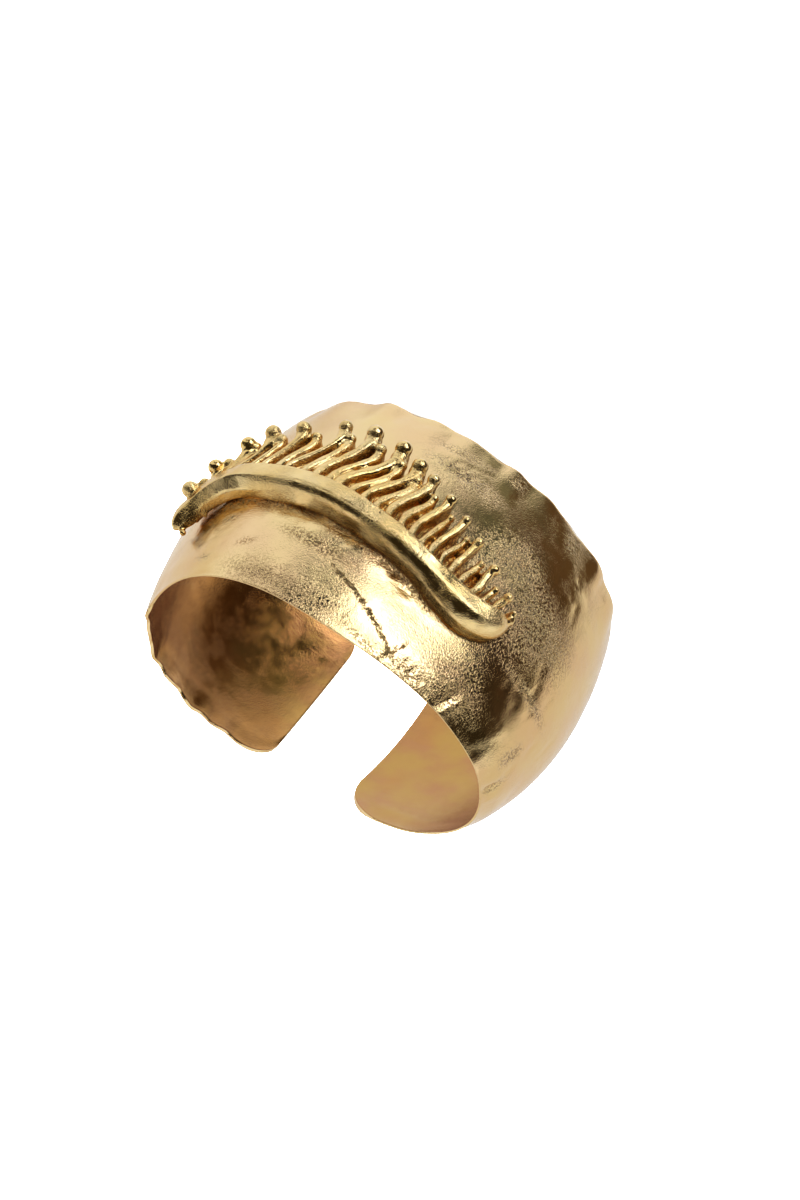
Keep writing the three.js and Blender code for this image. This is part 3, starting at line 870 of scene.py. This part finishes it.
def add_lash(number):
    """One lash: a tall fin on a swaying line, and the round club that its end carries."""
    reach_share, lean_share, tip_lift, club_share, sway_share = LONG_LASH if number % 2 == 0 else SHORT_LASH
    lean = lash_lean(number) * lean_share
    reach = lash_reach(number) * reach_share
    club = lash_club(number) * club_share
    sway = lash_sway(number) * sway_share * (1 + WOBBLE * cast_by_hand.normal())
    kink = WOBBLE * cast_by_hand.normal()
    width = LASH_WIDTH * (1 + WIDTH_WOBBLE * cast_by_hand.normal())
    phase = cast_by_hand.uniform(0, 2 * np.pi)
    fin_length = reach - FIN_SHORT_OF_TIP * club
    tip = tip_lift + FIN_OVER_CLUB * club

    def top(along):
        sag = LASH_SAG * np.sin(np.pi * along / reach)
        return LASH_TOP - sag + (tip - LASH_TOP) * smoothstep(along / reach, *TIP_RISE)

    def route(share):
        along = fin_length * share
        return *lash_line(number, along, reach, lean, sway, kink), (top(along) + LASH_FOOT) / 2

    def outline(share, turn):
        along = fin_length * share
        near_club = smoothstep(share, 1 - CLUB_NECK[0] * club / reach, 1 - CLUB_NECK[1] * club / reach)
        flare = ROOT_FLARE * np.exp(-(((along - ROOT_FLARE_AT) / ROOT_FLARE_LENGTH) ** 2))
        knots = 1 + KNOTS * np.sin(KNOTS_FAST * along + phase) * np.sin(KNOTS_SLOW * along + 2 * phase)
        wide = (width + flare + (CLUB_NECK_WIDTH * club - width) * near_club) * knots
        tall = (top(along) - LASH_FOOT) / 2
        size = faceted(turn, LASH_FACES, LASH_CRISPNESS) * rounded_end(share, CLUB_NOSE * club / reach)
        return wide * size * np.cos(turn), tall * size * np.sin(turn)

    crest.from_mesh(rod(route, outline, LASH_SIDES, LASH_RINGS))
    angle, height = lash_line(number, reach - club, reach, lean, sway, kink)
    add_ball(angle, height, tip_lift, club)


def add_web(number):
    """The thin floor that joins two lashes near their roots, between a number and the next."""
    middle = number + 0.5
    reach = lash_reach(middle)
    length = WEB_REACH * reach

    def top(share):
        return WEB_TOP[0] + (WEB_TOP[1] - WEB_TOP[0]) * share

    def route(share):
        line = lash_line(middle, length * share, reach, lash_lean(middle), lash_sway(middle))
        return *line, (top(share) + LASH_FOOT) / 2

    def outline(share, turn):
        size = faceted(turn, LASH_FACES, LASH_CRISPNESS) * rounded_end(share, WEB_NOSE)
        return WEB_WIDTH * size * np.cos(turn), (top(share) - LASH_FOOT) / 2 * size * np.sin(turn)

    crest.from_mesh(rod(route, outline, WEB_SIDES, WEB_RINGS))


for number in range(LASH_COUNT):
    add_lash(number)
for number in range(LASH_COUNT - 1):
    add_web(number)
for angle, height, lift, radius in SOLDER_BEADS:
    add_ball(angle, height, lift, radius)

rough_mesh = bpy.data.meshes.new("crest_rods")
crest.to_mesh(rough_mesh)
crest.free()
crest_piece = bpy.data.objects.new("lash_crest_casting", rough_mesh)
bpy.context.scene.collection.objects.link(crest_piece)
cast = crest_piece.modifiers.new("cast_in_one", "REMESH")
cast.mode = "VOXEL"
cast.voxel_size = CREST_VOXEL * MM
soften = crest_piece.modifiers.new("polish", "SMOOTH")
soften.factor = 0.5
soften.iterations = 2
bpy.context.view_layer.update()
cast_mesh = bpy.data.meshes.new_from_object(crest_piece.evaluated_get(bpy.context.evaluated_depsgraph_get()))
crest_piece.modifiers.clear()
crest_piece.data = cast_mesh
for polygon in cast_mesh.polygons:
    polygon.use_smooth = True

# Low places, side walls and the bar's foot are painted amber, as painted shade and painted reflection of
# gold in gold. The polished tops stay pale.
LOW_PLACE = (1.4, 3.5)
SIDE_WALL = (0.15, 0.75)
LOW_SHARE = 0.75
WALL_SHARE = 0.75
BAR_FOOT = (0.8, 2.1)
CLUB_RISE = (3.6, 5.0)
OFF_THE_BAR = (0.5, 1.0)
places = np.array([(vertex.co - wrist_axis) / MM for vertex in cast_mesh.vertices])
facing_out = np.array([vertex.normal for vertex in cast_mesh.vertices])
around = np.degrees(np.arctan2(places[:, 0], -places[:, 1]))
sheet_place = band_point(around, places[:, 2])
rise_off_sheet = np.hypot(places[:, 0], places[:, 1]) - np.hypot(sheet_place[:, 0], sheet_place[:, 1])
steepness = np.sum(facing_out * band_normal(around, places[:, 2]), axis=1)
low = LOW_SHARE * (1 - smoothstep(rise_off_sheet, *LOW_PLACE))
walls = WALL_SHARE * (1 - smoothstep(steepness, *SIDE_WALL)) * (1 - smoothstep(rise_off_sheet, *CLUB_RISE))
off_bar = (bar_height(around) - places[:, 2]) / bar_radius(around)
on_lashes = smoothstep(off_bar, *OFF_THE_BAR)
painted_channel_shade = on_lashes * (low + walls) + (1 - on_lashes) * (1 - smoothstep(rise_off_sheet, *BAR_FOOT))
crest_painted_shade = cast_mesh.attributes.new("crest_painted_shade", "FLOAT", "POINT")
crest_painted_shade.data.foreach_set("value", np.clip(painted_channel_shade, 0, 1))

POLISHED_PALE = (0.80, 0.59, 0.28)
POLISHED_DEEP = (0.79, 0.55, 0.22)
# The amber that is painted into the crest's low places, as shade and as reflection of gold in gold.
PAINTED_CHANNEL_AMBER = (0.60, 0.345, 0.095)
cast_mesh.materials.clear()
cast_mesh.materials.append(gold(
    "polished_gold_crest", POLISHED_PALE, POLISHED_DEEP, PAINTED_CHANNEL_AMBER, grain=0.03, lumps=0.05, hollows=0.04,
    rough_low=0.07, rough_high=0.13, mask="crest_painted_shade", painted_shade_share=1.0,
))
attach(crest_piece, "root")
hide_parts("lash_crest")


# ------------------------------------------------------------------------------------ floor and light
# A plain pale floor with a square lamp over it, and a soft studio round them: pale walls and tables, one
# bright window, and dark, brown and grey-green screens. Seen by the camera, the studio is plain white.
FLOOR_SIZE = 2.0
FLOOR_DROP = 0.00002
FLOOR_PALE = (0.92, 0.92, 0.92, 1)
LAMP_SIZE = 1.6
LAMP_ENERGY = 110
LAMP_HEIGHT = 1.2

floor_cut = bmesh.new()
bmesh.ops.create_grid(floor_cut, x_segments=1, y_segments=1, size=FLOOR_SIZE / 2)
bmesh.ops.translate(floor_cut, verts=floor_cut.verts, vec=(0, 0, -FLOOR_DROP))
floor_mesh = bpy.data.meshes.new("floor")
floor_cut.to_mesh(floor_mesh)
floor_cut.free()
floor = bpy.data.objects.new("floor", floor_mesh)
bpy.context.scene.collection.objects.link(floor)
floor_paint = bpy.data.materials.new("floor_paint")
floor_paint.use_nodes = True
floor_paint.node_tree.nodes["Principled BSDF"].inputs["Base Color"].default_value = FLOOR_PALE
floor_paint.node_tree.nodes["Principled BSDF"].inputs["Roughness"].default_value = 1
floor_paint.node_tree.nodes["Principled BSDF"].inputs["Specular IOR Level"].default_value = 0
floor_mesh.materials.append(floor_paint)
floor.visible_glossy = False
floor.visible_shadow = False

# Each wall or screen: its name, from and to which direction round it stands, from and to which direction up,
# how soft its edges are, how bright it is, its tint, and whether it stands on the table. Directions are in
# degrees. Round is 0 towards the camera and 90 to its right, and up is 90 to the top of its view.
WALLS = [
    ("far_table", 96, 181, -91, 12, 7, 0.70, (1.0, 0.98, 0.98), False),
    ("left_table", -181, -118, -91, 48, 7, 0.74, (1.0, 0.96, 0.92), False),
    ("dark_side", -112, -46, -14, 32, 5, 0.06, (1.0, 0.86, 0.62), True),
    ("dark_room", -50, 88, -40, 68, 4, 0.038, (1.0, 0.82, 0.55), True),
    ("ceiling_edge", -88, 5, 60, 71, 3, 0.16, (1.0, 0.86, 0.60), True),
    ("ceiling_dark", 0, 42, 57, 74, 2.5, 0.02, (1.0, 0.86, 0.60), True),
    ("dark_floor", -114, -80, -64, -40, 3, 0.08, (1.0, 0.86, 0.60), False),
    ("front_screen", -80, -4, 34, 54, 3, 0.9, (1.0, 1.04, 1.10), False),
    ("grey_green_screen", 78, 104, 28, 62, 2.5, 0.11, (0.95, 1.05, 0.98), True),
    ("grey_green_end", 102, 126, 43, 58, 4, 0.22, (0.95, 1.02, 0.90), True),
    ("brown_screen", 84, 122, -25, 30, 4, 0.07, (1.0, 0.70, 0.48), True),
    ("brown_limb", 103, 128, 6, 46, 2.5, 0.12, (1.0, 0.70, 0.45), True),
    ("window_side", 60, 72, 26, 40, 3, 0.5, (1.0, 1.0, 1.05), False),
    ("window", 41, 61, 16, 57, 2.5, 3.9, (1.0, 1.06, 1.24), False),
    ("window_top", 46, 61, 55, 64, 2, 3.6, (1.0, 1.06, 1.24), False),
    ("window_corner", 30, 42, 45, 56, 2, 2.4, (1.0, 1.06, 1.22), False),
    ("window_low", 14, 42, 26, 45, 3, 2.2, (1.0, 1.05, 1.15), False),
    ("table_card", -82, -48, -50, -18, 3, 0.8, (1.0, 0.97, 0.95), False),
]
WALL_LEVEL = 0.9
WALL_TINT = (1.0, 1.07, 1.20)
# The table faces -Y. What stands on it fades in between these two rises towards -Y.
TABLE_TOP = (-0.12, -0.03)

world = bpy.data.worlds.new("studio")
bpy.context.scene.world = world
world.use_nodes = True
studio = world.node_tree
way = studio.nodes.new("ShaderNodeTexCoord").outputs["Generated"]


def share_along(direction):
    dot = studio.nodes.new("ShaderNodeVectorMath")
    dot.operation = "DOT_PRODUCT"
    dot.inputs[1].default_value = direction
    studio.links.new(way, dot.inputs[0])
    return dot.outputs["Value"]


def between(value, low, high, soft):
    """1 from low to high, fading over a soft edge on each side."""
    rising = fade(studio, value, low - soft, low + soft)
    return maths(studio, "SUBTRACT", rising, fade(studio, value, high - soft, high + soft))


round_turn = maths(studio, "ARCTAN2", share_along(right), share_along(towards))
round_degrees = maths(studio, "MULTIPLY", round_turn, math.degrees(1))
up_degrees = maths(studio, "MULTIPLY", maths(studio, "ARCSINE", share_along(upwards)), math.degrees(1))
over_table = fade(studio, share_along((0, -1, 0)), *TABLE_TOP)
light = None
for name, from_round, to_round, from_up, to_up, soft, level, tint, above_table in WALLS:
    inside_wall = maths(
        studio, "MULTIPLY",
        between(round_degrees, from_round, to_round, soft), between(up_degrees, from_up, to_up, soft),
    )
    if above_table:
        inside_wall = maths(studio, "MULTIPLY", inside_wall, over_table)
    mix = studio.nodes.new("ShaderNodeMix")
    mix.name = name
    mix.data_type = "RGBA"
    studio.links.new(inside_wall, mix.inputs[0])
    if light is None:
        mix.inputs[6].default_value = (*(WALL_LEVEL * part for part in WALL_TINT), 1)
    else:
        studio.links.new(light, mix.inputs[6])
    mix.inputs[7].default_value = (*(level * part for part in tint), 1)
    light = mix.outputs[2]
seen = studio.nodes.new("ShaderNodeLightPath")
plain = studio.nodes.new("ShaderNodeMix")
plain.data_type = "RGBA"
studio.links.new(seen.outputs["Is Camera Ray"], plain.inputs[0])
studio.links.new(light, plain.inputs[6])
plain.inputs[7].default_value = (1, 1, 1, 1)
studio.links.new(plain.outputs[2], studio.nodes["Background"].inputs["Color"])

overhead = bpy.data.objects.new("overhead", bpy.data.lights.new("overhead", "AREA"))
bpy.context.scene.collection.objects.link(overhead)
overhead.data.size = LAMP_SIZE
overhead.data.energy = LAMP_ENERGY
overhead.location = (0, 0, LAMP_HEIGHT)
overhead.visible_glossy = False

bpy.context.scene.view_settings.view_transform = "Standard"
bpy.context.scene.view_settings.look = "Medium High Contrast"
